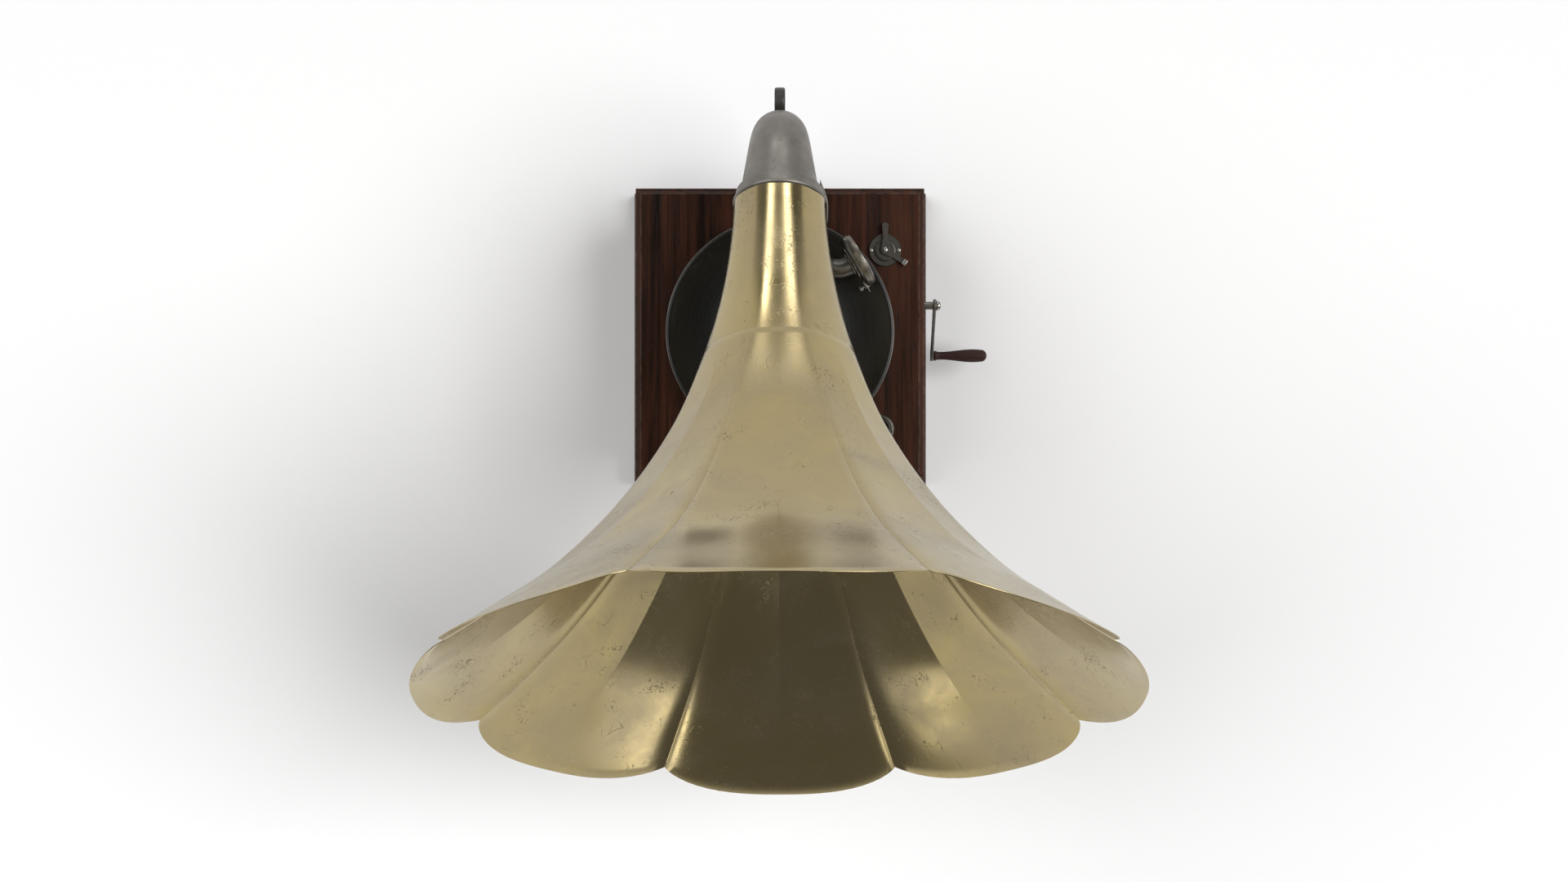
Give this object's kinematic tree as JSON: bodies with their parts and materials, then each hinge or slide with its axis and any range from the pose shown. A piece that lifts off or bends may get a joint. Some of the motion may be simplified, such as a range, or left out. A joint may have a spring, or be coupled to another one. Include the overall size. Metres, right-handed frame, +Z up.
{
  "type": "wind-up horn gramophone",
  "caption": "Table-top wind-up gramophone with an outside petalled brass horn, swinging tone arm, turntable, crank and spring motor.",
  "frame": {"origin": "middle of the base's underside, on the surface it stands on", "axes": "+X to the crank side, +Y to the back where the horn's elbow is, +Z up; the horn looks towards -Y"},
  "size_m": [0.69, 0.7693, 0.8828],
  "materials": {
    "mahogany": "satin, worn at the edges",
    "nickelled_steel": "dulled nickel plate",
    "dark_screw_steel": "polished, aged",
    "grey_casting": "warm grey cast metal, satin",
    "aged_brass": "pale aged sheet brass with tarnish",
    "worn_soundbox_steel": "worn plated steel",
    "mica": "clear mica sheet",
    "felt": "wool felt",
    "shellac": "grooved shellac",
    "bronze_dial": "dark bronze-grey, worn",
    "grip_wood": "polished turned hardwood",
    "motor_steel": "oiled steel"
  },
  "bodies": {
    "cabinet": {"plinth_front": "mahogany", "plinth_right": "mahogany", "plinth_back": "mahogany", "plinth_left": "mahogany", "front_panel": "mahogany", "back_panel": "mahogany", "left_panel": "mahogany", "right_panel": "mahogany", "bottom_board": "mahogany", "motor_board": "mahogany", "winding_escutcheon": "nickelled_steel", "back_bracket": "grey_casting", "bracket_screw_upper": "dark_screw_steel", "bracket_screw_lower": "dark_screw_steel", "dial_plate": "bronze_dial", "dial_centre_screw": "dark_screw_steel", "dial_screw_left": "dark_screw_steel", "dial_screw_right": "dark_screw_steel", "needle_cup": "bronze_dial", "motor_bottom_plate": "motor_steel", "motor_top_plate": "motor_steel", "motor_pillar_1": "motor_steel", "motor_pillar_2": "motor_steel", "motor_pillar_3": "motor_steel"},
    "horn": {"horn_elbow": "grey_casting", "elbow_collar": "grey_casting", "horn_clamp_screw": "nickelled_steel", "horn_neck": "aged_brass", "horn_petal_1": "aged_brass", "horn_petal_2": "aged_brass", "horn_petal_3": "aged_brass", "horn_petal_4": "aged_brass", "horn_petal_5": "aged_brass", "horn_petal_6": "aged_brass", "horn_petal_7": "aged_brass", "horn_petal_8": "aged_brass"},
    "tonearm": {"tonearm_tube": "nickelled_steel"},
    "soundbox": {"tonearm_gooseneck": "nickelled_steel", "soundbox_flange": "worn_soundbox_steel", "soundbox_body": "worn_soundbox_steel", "diaphragm": "mica", "stylus_bar": "dark_screw_steel", "needle_screw": "dark_screw_steel", "needle": "dark_screw_steel"},
    "turntable": {"turntable_platter": "nickelled_steel", "turntable_mat": "felt", "record": "shellac", "turntable_spindle": "nickelled_steel"},
    "brake": {"brake_lever": "bronze_dial"},
    "speed": {"speed_arm": "bronze_dial"},
    "crank": {"crank_shaft": "nickelled_steel", "crank_arm": "nickelled_steel", "crank_nut": "nickelled_steel", "grip_pin": "nickelled_steel"},
    "grip": {"crank_grip": "grip_wood"},
    "idler": {"idler_gear": "motor_steel"},
    "barrel": {"mainspring_barrel": "motor_steel", "mainspring": "motor_steel"},
    "arbor": {"barrel_arbor": "motor_steel"},
    "governor": {"governor_rotor": "motor_steel"}
  },
  "joints": [
    {"name": "horn_swivel", "type": "hinge", "parent": "cabinet", "child": "horn", "pos_m": [0, 0.203, 0.265], "axis": [0, 0, 1], "range_deg": [-25, 25]},
    {"name": "tonearm_swing", "type": "hinge", "parent": "cabinet", "child": "tonearm", "pos_m": [0, 0.203, 0.24], "axis": [0, 0, 1], "range_deg": [-18, 22]},
    {"name": "soundbox_lift", "type": "hinge", "parent": "tonearm", "child": "soundbox", "pos_m": [0, 0.203, 0.24], "axis": [0.342, -0.9397, 0], "range_deg": [0, 45]},
    {"name": "turntable_spin", "type": "hinge", "parent": "cabinet", "child": "turntable", "pos_m": [0, 0, 0.195], "axis": [0, 0, 1], "continuous": true},
    {"name": "brake_swing", "type": "hinge", "parent": "cabinet", "child": "brake", "pos_m": [0.1176, 0.0919, 0.188], "axis": [0, 0, 1], "range_deg": [-25, 15]},
    {"name": "speed_swing", "type": "hinge", "parent": "cabinet", "child": "speed", "pos_m": [0.1176, 0.0919, 0.187], "axis": [0, 0, 1], "range_deg": [-20, 20]},
    {"name": "crank_turn", "type": "hinge", "parent": "cabinet", "child": "crank", "pos_m": [0.179, 0.0352, 0.1], "axis": [1, 0, 0], "continuous": true},
    {"name": "grip_spin", "type": "hinge", "parent": "crank", "child": "grip", "pos_m": [0.179, -0.0208, 0.05011], "axis": [1, 0, 0], "continuous": true},
    {"name": "idler_spin", "type": "hinge", "parent": "cabinet", "child": "idler", "pos_m": [-0.03469, -0.00964, 0.13], "axis": [0, 0, 1], "continuous": true},
    {"name": "barrel_spin", "type": "hinge", "parent": "cabinet", "child": "barrel", "pos_m": [-0.062, 0.0352, 0.06], "axis": [0, 0, 1], "continuous": true},
    {"name": "arbor_wind", "type": "hinge", "parent": "cabinet", "child": "arbor", "pos_m": [-0.062, 0.0352, 0.06], "axis": [0, 0, 1], "continuous": true},
    {"name": "governor_spin", "type": "hinge", "parent": "cabinet", "child": "governor", "pos_m": [0.02167, -0.02875, 0.09], "axis": [0, 0, 1], "continuous": true}
  ],
  "couplings": [
    {"joint": "idler_spin", "follows": "turntable_spin", "ratio": -0.2},
    {"joint": "barrel_spin", "follows": "turntable_spin", "ratio": 0.033333},
    {"joint": "governor_spin", "follows": "turntable_spin", "ratio": -5},
    {"joint": "arbor_wind", "follows": "crank_turn", "ratio": 0.5}
  ]
}
